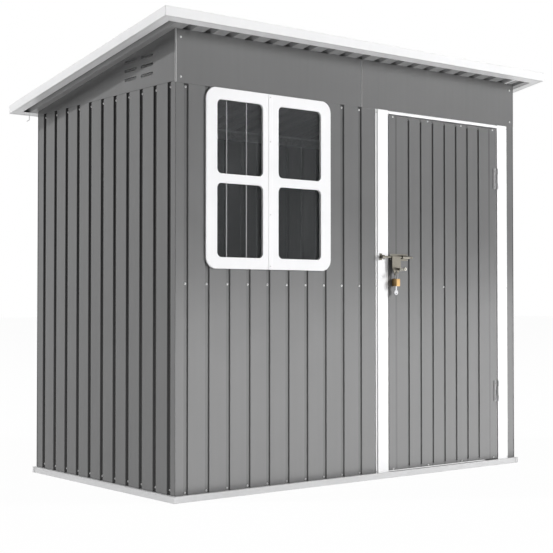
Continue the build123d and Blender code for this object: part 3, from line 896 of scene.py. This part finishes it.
@dataclass
class Walls(Piece):
    """The grooved wall sheets, the bands above them, their folds, dark plugs of painted shade at the groove
    tops, louvres and screws.
    """

    end_margin: float = 60.0 * MM
    window_margin: float = 10.0 * MM
    base_screw: float = 33.0 * MM
    side_screw: float = 43.0 * MM
    mid_screw: float = 815.0 * MM
    under_band: float = 13.0 * MM
    side_top: float = 19.0 * MM
    band_inset: float = 22.0 * MM
    band_down: float = 31.0 * MM
    band_up: float = 23.0 * MM
    roll_out: float = 0.6 * MM
    wall_roll_rise: float = 2.0 * MM
    seam_rise: float = 1.0 * MM
    corner_roll: float = 3.4 * MM
    wall_roll: float = 1.8 * MM
    hem_roll: float = 0.9 * MM
    seam_roll: float = 2.0 * MM
    # Size and place of the dark plugs of painted shade at the groove tops.
    shade_plug_back: float = 0.6 * MM
    shade_plug_wide: float = 9.8 * MM
    shade_plug_tall: float = 5.5 * MM
    shade_plug_deep: float = 3.0 * MM
    louvre_rows: tuple[float, ...] = (50.0 * MM, 86.0 * MM, 122.0 * MM)
    louvre_spots: tuple[float, ...] = (195.9 * MM, 315.1 * MM)
    louvre_long: float = 85.0 * MM
    louvre_tall: float = 5.6 * MM
    louvre_in: float = 0.8 * MM
    louvre_thick: float = 0.9 * MM
    louvre_steps: int = 8
    louvre_profile: tuple[tuple[float, float], ...] = ((-0.5, 0.2), (-0.15, 0.0), (0.25, 0.35), (0.5, 1.0))

    def front_spots(self) -> list[Spot]:
        """Places of the front wall's screws.

        Returns:
            Nodes, facings and points.
        """
        plan = self.outline
        window = [corner.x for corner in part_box("window_frame")]
        spots = []
        for x in plan.grooves(plan.left, plan.first_front, plan.sheet_end - self.end_margin):
            rows = [self.base_screw, self.mid_screw]
            if not window[0] < x < window[1]:
                rows.append(plan.band_low - self.under_band)
            spots += [("wall_front_panel", Facing.FRONT, (x, plan.front, z)) for z in rows]
        ends = {"header_left": plan.left + self.band_inset, "header_right": plan.right - self.band_inset}
        rows = (plan.band_low + self.band_up, plan.header_top - self.band_down)
        spots += [(node, Facing.FRONT, (x, plan.front, z)) for node, x in ends.items() for z in rows]
        return spots

    def side_spots(self, side: Facing) -> list[Spot]:
        """Places of the screws of the left or right wall.

        Args:
            side: Which wall.

        Returns:
            Nodes, facings and points.
        """
        plan = self.outline
        walls = {Facing.LEFT: ("wall_left_panel", plan.left), Facing.RIGHT: ("wall_right_panel", plan.right)}
        node, x = walls[side]
        rows = (self.side_screw, plan.gable_low - self.side_top)
        grooves = plan.grooves(plan.front, plan.first_side, plan.back)
        return [(node, side, (x, y, z)) for y in grooves for z in rows]

    def back_spots(self) -> list[Spot]:
        """Places of the back wall's screws.

        Returns:
            Nodes, facings and points.
        """
        plan = self.outline
        rows = (self.side_screw, self.mid_screw, plan.back_top - self.side_top)
        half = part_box("wall_back_left")[1].x
        spots = []
        for x in plan.grooves(plan.left, plan.first_front, plan.right):
            node = "wall_back_left" if x < half else "wall_back_right"
            spots += [(node, Facing.BACK, (x, plan.back, z)) for z in rows]
        return spots

    def folds(self) -> None:
        """Adds the rolled corners of walls and bands, the band's seam and its hems."""
        plan = self.outline
        left, right, front = plan.left - self.roll_out, plan.right + self.roll_out, plan.front - self.roll_out
        low, top, seam = plan.band_low, plan.header_top, plan.header_seam
        corners = bmesh.new()
        bead(corners, (left, front, low), (left, front, top), self.corner_roll)
        bead(corners, (seam, front, low + self.seam_rise), (seam, front, top), self.seam_roll)
        # The band's corner and seam rolls are coloured paler than the wall: painted highlight.
        self.add("band_corner_roll", corners, Body.SHED, "fold_highlight", "sheet_grey")
        rolls = bmesh.new()
        bead(rolls, (right, front, low), (right, front, top), self.wall_roll)
        base = plan.floor_line + self.wall_roll_rise
        for y, end in ((plan.front, low), (plan.back, plan.back_top)):
            for x in (plan.left, plan.right):
                bead(rolls, (x, y, base), (x, y, end), self.wall_roll)
        self.add("wall_corner_rolls", rolls, Body.SHED, "wall", "sheet_grey")
        hems = bmesh.new()
        bead(hems, (left, front, low), (right, front, low), self.hem_roll)
        for x in (left, right):
            bead(hems, (x, front, plan.gable_low), (x, plan.back, plan.gable_low), self.hem_roll)
        self.add("band_hems", hems, Body.SHED, "wall", "sheet_grey")

    def groove_top_shade(self) -> None:
        """Adds dark plugs at the tops of the front grooves under the band: painted shade where the band
        overhangs them.
        """
        plan = self.outline
        window = [corner.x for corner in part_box("window_frame")]
        mesh = bmesh.new()
        for x in plan.grooves(plan.left, plan.first_front, plan.sheet_end - self.end_margin):
            if window[0] + self.window_margin < x < window[1] - self.window_margin:
                continue
            y, top = plan.front + self.shade_plug_back, plan.band_low
            low, start, end = top - self.shade_plug_tall, x - self.shade_plug_wide, x + self.shade_plug_wide
            plate(mesh, [(start, y, low), (end, y, low), (end, y, top), (start, y, top)],
                  (0.0, self.shade_plug_deep, 0.0))
        self.add("groove_top_shade", mesh, Body.SHED, "gap_shade", "roof_grey", smooth=False)

    def louvre(self, mesh: Mesh, side: Facing, y: float, z: float) -> None:
        """Adds one pressed louvre blade behind its slot.

        Args:
            mesh: The mesh to add to.
            side: Left or right gable.
            y: Middle of the slot.
            z: Height of the slot.
        """
        way = side.value[0]
        face = self.outline.left if side is Facing.LEFT else self.outline.right
        rows = []
        for up, deep in self.louvre_profile:
            inset = self.louvre_in * (0.5 + deep)
            row = []
            for i in range(self.louvre_steps + 1):
                along = math.sin(math.pi * (i / self.louvre_steps - 0.5)) * self.louvre_long / 2
                row.append(mesh.verts.new((face - way * inset, y + along, z + up * self.louvre_tall)))
            rows.append(row)
        for lower, upper in zip(rows, rows[1:]):
            for i in range(self.louvre_steps):
                mesh.faces.new((lower[i], lower[i + 1], upper[i + 1], upper[i]))

    def louvres(self) -> None:
        """Adds the blades behind the vent slots of both gables."""
        mesh = bmesh.new()
        for side in (Facing.LEFT, Facing.RIGHT):
            for along in self.louvre_spots:
                for rise in self.louvre_rows:
                    self.louvre(mesh, side, self.outline.front + along, self.outline.gable_low + rise)
        blades = self.add("gable_louvres", mesh, Body.SHED, "louvre", "sheet_grey")
        blades.modifiers.new("thickness", "SOLIDIFY").thickness = self.louvre_thick

    def build(self) -> None:
        """Dresses the sheets and adds their folds, the dark plugs of painted shade at the groove tops,
        louvres and screws.
        """
        self.dress("front", "sheet_grey", "wall_front_panel", "wall_front_strip", "wall_back_left",
                   "wall_back_right")
        self.dress("side", "sheet_grey", "wall_left_panel", "wall_right_panel")
        self.dress("wall", "sheet_grey", "header_left", "header_right", "gable_left", "gable_right")
        self.folds()
        self.groove_top_shade()
        self.louvres()
        rows = {
            "front_wall_screws": self.front_spots(),
            "left_wall_screws": self.side_spots(Facing.LEFT),
            "right_wall_screws": self.side_spots(Facing.RIGHT),
            "back_wall_screws": self.back_spots(),
        }
        for name, spots in rows.items():
            self.add(name, Screw().row(SEAT.all(spots)), Body.SHED, "screw", "zinc")


@dataclass
class Framing(Piece):
    """Base rails, corner angles, inner rails and purlin."""

    def build(self) -> None:
        """Dresses the frame."""
        self.dress("rail", "rail_grey", "base_rail_front", "base_rail_back", "base_rail_left",
                   "base_rail_right", "base_corner_plates")
        self.dress("zinc", "zinc", "corner_angles", "mid_rails", "top_rails", "roof_purlin")


@dataclass
class Roof(Piece):
    """Ribbed roof sheets, white edging with its returns and dark corner beads of painted shade, eave bracket
    and screws.
    """

    screw_rows: tuple[float, ...] = (-0.47, 0.0165, 0.53)
    ribs: range = range(-2, 24, 2)
    soffit_at: tuple[float, float] = (-0.4, 0.0)
    bracket_at: float = 1842.0 * MM
    bracket_wide: float = 14.0 * MM
    bracket_thick: float = 1.5 * MM
    bracket_lap: float = 6.0 * MM
    bracket_gap: float = 1.5 * MM
    bracket_drop: float = 1.3 * MM
    # Size and place of the dark corner beads of painted shade.
    shade_bead_r: float = 1.2 * MM
    shade_bead_in: float = 1.38 * MM
    shade_bead_down: float = 3.0 * MM
    shade_bead_long: float = 26.0 * MM
    return_from: float = 12.6 * MM
    return_to: float = 44.0 * MM
    return_drop: float = 0.2 * MM
    return_thick: float = 0.9 * MM

    def roof_spots(self) -> list[Spot]:
        """Places of the roof screws, on every other rib.

        Returns:
            Nodes, facings and points.
        """
        plan = self.outline
        spots = []
        for node in ("roof_sheet_left", "roof_sheet_middle", "roof_sheet_right"):
            low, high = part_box(node)
            for i in self.ribs:
                x = plan.left + plan.first_front + i * plan.pitch
                if low.x + plan.pitch / 4 < x < high.x - plan.pitch / 4:
                    spots += [(node, Facing.ROOF, (x, y, self.soffit(y))) for y in self.screw_rows]
        return spots

    def soffit(self, y: float) -> float:
        """Height of the roof sheets' underside between two ribs.

        Args:
            y: Distance towards the back.

        Returns:
            The height.
        """
        x = self.outline.left + self.bracket_at + self.bracket_wide / 2
        top = self.outline.header_top
        near, far = [SEAT.under("roof_sheet_right", (x, place, top)) for place in self.soffit_at]
        return near[2] + (y - near[1]) * (far[2] - near[2]) / (far[1] - near[1])

    def returns(self) -> None:
        """Adds the inward returns along the edging's foot, which carry the sheets' ends."""
        low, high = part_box("fascia_front")[0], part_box("fascia_back")[1]
        outer = [(low.x, low.y), (high.x, low.y), (high.x, high.y), (low.x, high.y)]
        inwards = [(1, 1), (-1, 1), (-1, -1), (1, -1)]
        edge, inner = self.return_from, self.return_to
        mesh = bmesh.new()
        for i in range(len(outer)):
            j = (i + 1) % len(outer)
            corners: list[Point] = []
            for spot, depth in ((i, edge), (j, edge), (j, inner), (i, inner)):
                x = outer[spot][0] + inwards[spot][0] * depth
                y = outer[spot][1] + inwards[spot][1] * depth
                corners.append((x, y, self.soffit(y) - self.return_drop))
            plate(mesh, corners, (0.0, 0.0, -self.return_thick))
        self.add("edging_returns", mesh, Body.SHED, "white", "white_steel", smooth=False)

    def bracket(self) -> None:
        """Adds the white strip that ties the front edging to the wall at its right end."""
        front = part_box("fascia_front")[0].y + self.return_to - self.bracket_lap
        back = self.outline.front - self.bracket_gap
        left = self.outline.left + self.bracket_at
        right = left + self.bracket_wide
        corners = []
        for x, y in ((left, front), (right, front), (right, back), (left, back)):
            corners.append((x, y, self.soffit(y) - self.bracket_drop))
        mesh = bmesh.new()
        plate(mesh, corners, (0.0, 0.0, -self.bracket_thick))
        self.add("eave_bracket", mesh, Body.SHED, "white", "white_steel", smooth=False)

    def seams(self) -> None:
        """Adds dark beads at the edging's front corners: painted shade in the gaps where its pieces meet."""
        mesh = bmesh.new()
        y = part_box("fascia_left")[0].y + self.shade_bead_in
        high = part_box("fascia_front")[1].z - self.shade_bead_down
        for x in (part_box("fascia_left")[0].x + self.shade_bead_in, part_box("fascia_right")[1].x - self.shade_bead_in):
            bead(mesh, (x, y, high - self.shade_bead_long), (x, y, high), self.shade_bead_r)
        self.add("edging_corner_shade", mesh, Body.SHED, "gap_shade", "roof_grey")

    def build(self) -> None:
        """Dresses the roof and adds the edging's returns, the bracket, the dark corner beads of painted shade
        and screws.
        """
        self.dress("roof", "roof_grey", "roof_sheet_left", "roof_sheet_middle", "roof_sheet_right")
        self.dress("edging", "white_steel", "fascia_front", "fascia_back", "fascia_left", "fascia_right")
        self.dress("zinc", "zinc", "eave_hook")
        self.returns()
        self.bracket()
        self.seams()
        spots = SEAT.all(self.roof_spots())
        self.add("roof_screws", Screw(head=4.6 * MM, tall=3.6 * MM).row(spots), Body.SHED, "screw", "zinc")
        rubber = Screw(head=6.6 * MM, tall=0.9 * MM, washer=7.6 * MM, washer_tall=0.6 * MM)
        self.add("roof_washers", rubber.row(spots), Body.SHED, "washer", "roof_grey")


@dataclass
class Window(Piece):
    """The moulded window, its four panes, their ribs coloured as a painted highlight, and the lap down its
    middle.
    """

    screw_x: float = 445.6 * MM
    screw_rises: tuple[float, ...] = (13.5 * MM, 217.0 * MM, 506.0 * MM, 682.0 * MM)
    lap_x: float = 454.6 * MM
    lap_wide: float = 18.0 * MM
    lap_thick: float = 0.7 * MM
    rib_places: tuple[float, ...] = (102.0 * MM, 198.0 * MM)
    rib_r: float = 2.6 * MM
    end_margin: float = 2.0 * MM

    def build(self) -> None:
        """Dresses the window and adds its lap, the ribs pressed in the left panes, and its screws."""
        self.dress("window", "white_plastic", "window_frame")
        self.dress("pane", "clear_sheet", "window_panes")
        low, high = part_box("window_frame")
        end = self.outline.left + self.lap_x
        start, foot, top = end - self.lap_wide, low.z + self.end_margin, high.z - self.end_margin
        corners = [(start, low.y, foot), (end, low.y, foot), (end, low.y, top), (start, low.y, top)]
        mesh = bmesh.new()
        plate(mesh, corners, (0.0, -self.lap_thick, 0.0))
        self.add("window_lap", mesh, Body.SHED, "window", "white_plastic", smooth=False)
        near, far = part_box("window_panes")
        ribs = bmesh.new()
        for place in self.rib_places:
            x, foot, top = low.x + place, near.z + self.end_margin, far.z - self.end_margin
            bead(ribs, (x, near.y, foot), (x, near.y, top), self.rib_r)
        # The ribs take a pale opaque grey: painted highlight standing in for the glints that clear ribs show.
        self.add("pane_ribs", ribs, Body.SHED, "pane_rib_highlight", "clear_sheet")
        x = self.outline.left + self.screw_x
        spots = [(Facing.FRONT, (x, low.y - self.lap_thick, low.z + rise)) for rise in self.screw_rises]
        small = Screw(head=2.4 * MM, tall=1.4 * MM, washer=2.6 * MM, washer_tall=0.3 * MM, cross=1.4 * MM,
                      cross_half=0.3 * MM, cross_deep=0.7 * MM)
        self.add("window_screws", small.row(spots), Body.SHED, "screw", "zinc")


@dataclass
class Door(Piece):
    """The door frame, leaf, hinges and the screws that hold them."""

    inset: float = 25.0 * MM
    columns: int = 4
    from_edge: float = 5.5 * MM
    mid_screw: float = 815.0 * MM
    mid_groove: int = 3
    post_in: float = 6.0 * MM
    post_rows: tuple[float, ...] = (32.0 * MM, 815.0 * MM, 1554.0 * MM)
    hinge_tall: float = 95.0 * MM
    hinge_rows: tuple[float, ...] = (12.0 * MM, 83.0 * MM)
    hinge_out: float = 15.0 * MM
    axis_x: float = 1782.5 * MM

    def leaf_spots(self) -> list[Spot]:
        """Places of the leaf's own screws.

        Returns:
            Nodes, facings and points.
        """
        low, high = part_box("door_leaf")
        step = (high.x - low.x - 2 * self.inset) / (self.columns - 1)
        spots = []
        for column in range(self.columns):
            x = low.x + self.inset + column * step
            for z in (low.z + self.from_edge, high.z - self.from_edge):
                spots.append(("door_leaf", Facing.FRONT, (x, low.y, z)))
        plan = self.outline
        x = plan.left + plan.first_door + self.mid_groove * plan.door_pitch
        spots.append(("door_leaf", Facing.FRONT, (x, low.y, self.mid_screw)))
        return spots

    def post_spots(self) -> list[Spot]:
        """Places of the posts' screws, on their outer flanges.

        Returns:
            Nodes, facings and points.
        """
        left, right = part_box("door_post_left")[0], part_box("door_post_right")[1]
        posts = {"door_post_left": left.x + self.post_in, "door_post_right": right.x - self.post_in}
        return [(node, Facing.FRONT, (x, left.y, z)) for node, x in posts.items() for z in self.post_rows]

    def hinge_spots(self, node: str, side: float) -> list[Spot]:
        """Places of the screws of one side of both hinges.

        Args:
            node: The plates' node.
            side: 1 for the post, -1 for the leaf.

        Returns:
            Nodes, facings and points.
        """
        low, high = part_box(node)
        x = self.outline.left + self.axis_x + side * self.hinge_out
        starts = (low.z, high.z - self.hinge_tall)
        return [(node, Facing.FRONT, (x, low.y, z + rise)) for z in starts for rise in self.hinge_rows]

    def build(self) -> None:
        """Dresses the door and adds its screws."""
        self.dress("white", "white_steel", "door_post_left", "door_post_right", "door_head_rail",
                   "hinge_post_leaves")
        self.dress("door", "sheet_grey", "door_leaf")
        self.dress("zinc", "zinc", "door_stiffeners")
        self.dress("hinge", "zinc", "hinge_door_leaves")
        self.add("door_screws", Screw().row(SEAT.all(self.leaf_spots())), Body.DOOR, "screw", "zinc")
        self.add("post_screws", Screw().row(SEAT.all(self.post_spots())), Body.SHED, "screw", "zinc")
        flat = Screw(head=2.9 * MM, tall=1.0 * MM, washer=3.1 * MM, washer_tall=0.2 * MM, cross=1.7 * MM,
                     cross_half=0.35 * MM, cross_deep=0.6 * MM)
        post = SEAT.all(self.hinge_spots("hinge_post_leaves", 1.0))
        leaf = SEAT.all(self.hinge_spots("hinge_door_leaves", -1.0))
        self.add("hinge_post_screws", flat.row(post), Body.SHED, "white", "white_steel")
        self.add("hinge_leaf_screws", flat.row(leaf), Body.DOOR, "hinge", "zinc")


@dataclass
class Latch(Piece):
    """Slide bolt, padlock and key."""

    rivet_in: float = 5.0 * MM
    knob_x: float = 1131.0 * MM
    knob_z: float = 887.0 * MM
    knob_out: float = 0.3 * MM
    knob_r: float = 7.2 * MM
    knob_long: float = 29.0 * MM
    knob_eye: float = 2.8 * MM
    knob_rim: float = 1.6 * MM
    sides: int = 24

    def knob(self) -> None:
        """Adds the sleeve over the knob's pin, with a rolled rim and a round eye in its end."""
        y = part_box("latch_bolt")[0].y - self.knob_out
        place = turned(Facing.BACK, (self.outline.left + self.knob_x, y, self.knob_z))
        big, rim, eye, end = self.knob_r, self.knob_rim, self.knob_eye, self.knob_long
        neck = big - rim * 0.5
        profile = [
            (eye, rim * 2), (eye, rim * 0.5), (eye + rim * 0.4, 0.0), (big - rim, 0.0),
            (big - rim * 0.3, rim * 0.3), (big, rim), (big, rim * 2.2), (neck, rim * 2.8),
            (neck, end - rim), (big, end - rim), (big, end),
        ]
        mesh = bmesh.new()
        skin(mesh, [circle(mesh, place, radius, along, self.sides) for radius, along in profile])
        self.add("bolt_knob_sleeve", mesh, Body.BOLT, "knob", "bolt_steel")

    def build(self) -> None:
        """Dresses the fittings and adds the knob's sleeve and the plate's rivets."""
        self.dress("bolt", "bolt_steel", "bolt_keeper", "latch_plate", "latch_bolt")
        self.dress("brass", "brass", "padlock_body")
        self.dress("key", "key_steel", "padlock_shackle", "padlock_key")
        self.knob()
        low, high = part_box("latch_plate")
        spots = []
        for x in (low.x + self.rivet_in, high.x - self.rivet_in):
            for z in (low.z + self.rivet_in, high.z - self.rivet_in):
                spots.append(("latch_plate", Facing.FRONT, (x, low.y, z)))
        rivet = Screw(head=2.3 * MM, tall=1.3 * MM, washer=2.4 * MM, washer_tall=0.2 * MM, cross=0.6 * MM,
                      cross_half=0.1 * MM, cross_deep=0.2 * MM)
        self.add("latch_rivets", rivet.row(SEAT.all(spots)), Body.DOOR, "key", "bolt_steel")


@dataclass
class Studio:
    """Camera, floor, world and soft lights."""

    camera_at: Point = (-3.5126, -4.3398, 0.7360)
    azimuth: float = 38.5967
    elevation: float = 1.3116
    lens: float = 80.12
    sensor: float = 36.0
    floor_half: float = 60.0
    sky: float = 0.19
    dark_side: Point = (-0.622, -0.783, 0.0)
    dark_from: float = 0.35
    dark_to: float = 0.72
    dark_level: float = 0.12
    floor_glow: float = 0.97
    floor_drop: float = 0.5 * MM
    far_clip: float = 200.0
    sheen_floor: float = 2.9

    def set_camera(self) -> None:
        """Puts the camera where the photograph was taken."""
        data = bpy.data.cameras.new("view")
        data.sensor_fit = "HORIZONTAL"
        data.sensor_width = self.sensor
        data.lens = self.lens
        data.clip_end = self.far_clip
        camera = bpy.data.objects.new("view", data)
        camera.location = self.camera_at
        camera.rotation_euler = (math.radians(90 + self.elevation), 0, -math.radians(self.azimuth))
        bpy.context.scene.collection.objects.link(camera)
        bpy.context.scene.camera = camera

    def set_world(self) -> None:
        """White to the eye, and a plain pale light for the object."""
        world = bpy.data.worlds.new("studio")
        bpy.context.scene.world = world
        world.use_nodes = True
        sheet = Nodes(world.node_tree)
        light = sheet.new("Background", Color=(1.0, 1.0, 1.0, 1.0))
        white = sheet.new("Background", Color=(1.0, 1.0, 1.0, 1.0))
        side = self.room_side(sheet)
        seen = sheet.new("LightPath").outputs["Is Camera Ray"]
        sheet.join(sheet.maths("MULTIPLY", side, self.sky), light.inputs["Strength"])
        sheet.join(sheet.maths("MAXIMUM", side, seen), white.inputs["Strength"])
        mixed = sheet.blend(sheet.seen_rays(), light.outputs["Background"], white.outputs["Background"])
        sheet.join(mixed, sheet.new("OutputWorld").inputs["Surface"])

    def room_side(self, sheet: Nodes) -> Socket:
        """The room's brightness by direction: white, but dim on the side away from the backdrop.

        Args:
            sheet: The world's nodes.

        Returns:
            The brightness.
        """
        dot = sheet.new("VectorMath")
        dot.operation = "DOT_PRODUCT"
        dot.inputs[1].default_value = self.dark_side
        sheet.join(sheet.new("TexCoord").outputs["Generated"], dot.inputs[0])
        facing = dot.outputs["Value"]
        return sheet.remap(facing, self.dark_from, self.dark_to, 1.0, self.dark_level, "SMOOTHSTEP")

    def set_floor(self) -> None:
        """A white floor that keeps a faint shadow."""
        sheet = NodeSheet("studio_floor")
        sheet.set(Base_Color=(0.9, 0.9, 0.9, 1.0), Roughness=0.9, Specular_IOR_Level=0.0)
        share = sheet.maths("MULTIPLY", sheet.seen_rays(), self.floor_glow)
        glow = sheet.new("Emission").outputs["Emission"]
        sheet.join(sheet.blend(share, sheet.shader.outputs["BSDF"], glow), sheet.output.inputs["Surface"])
        mesh = bmesh.new()
        bmesh.ops.create_grid(mesh, x_segments=1, y_segments=1, size=self.floor_half)
        data = bpy.data.meshes.new("studio_floor")
        mesh.to_mesh(data)
        mesh.free()
        floor = bpy.data.objects.new("studio_floor", data)
        floor.location.z = -self.floor_drop
        data.materials.append(sheet.material)
        bpy.context.scene.collection.objects.link(floor)

    def add_light(self, name: str, at: Point, towards: Point, size: tuple[float, float],
                  watts: float, in_mirrors: bool = True) -> bpy.types.Object:
        """Adds one soft panel of light.

        Args:
            name: Its name.
            at: Its middle.
            towards: The point that it faces.
            size: Its width and height.
            watts: Its power.
            in_mirrors: Whether glossy surfaces show it.

        Returns:
            The light.
        """
        data = bpy.data.lights.new(name, "AREA")
        data.shape = "RECTANGLE"
        data.size, data.size_y = size
        data.energy = watts
        light = bpy.data.objects.new(name, data)
        light.location = at
        light.rotation_euler = (Vector(towards) - Vector(at)).to_track_quat("-Z", "Y").to_euler()
        light.visible_camera = False
        light.visible_glossy = in_mirrors
        bpy.context.scene.collection.objects.link(light)
        return light

    def add_panel(self, name: str, at: Point, towards: Point, size: tuple[float, float]) -> None:
        """Adds a bright white board that satin paint mirrors.

        Args:
            name: Its name.
            at: Its middle.
            towards: The point that it faces.
            size: Its width and height.
        """
        watts = math.pi * size[0] * size[1] * self.sheen_floor
        self.add_light(name, at, towards, size, watts).visible_diffuse = False

    def build(self) -> None:
        """Sets the whole studio up."""
        self.set_camera()
        self.set_world()
        self.set_floor()
        self.add_light("left_key", (-15.0, 8.5, 11.0), (-0.95, 0.0, 1.2), (0.6, 0.6), 2900.0, False)
        self.add_light("right_soft", (14.0, -12.0, 7.0), (0.0, -0.5, 1.0), (4.0, 4.0), 4300.0, False)
        self.add_panel("floor_sheen", (3.6, -6.7, 0.01), (3.6, -6.7, 2.0), (9.0, 12.0))
        self.add_panel("low_reflector", (6.9, -9.0, 0.5), (0.0, -0.5, 0.5), (12.0, 1.0))
        bpy.context.scene.view_settings.view_transform = "Standard"


def main() -> None:
    """Builds every sub-assembly in order."""
    logging.basicConfig(level=logging.INFO, format="%(name)s: %(message)s")
    palette = Palette()
    for assembly in (Framing, Walls, Roof, Window, Door, Latch):
        assembly(palette, PLAN).build()
    Studio().build()


if __name__ == "__main__":
    main()
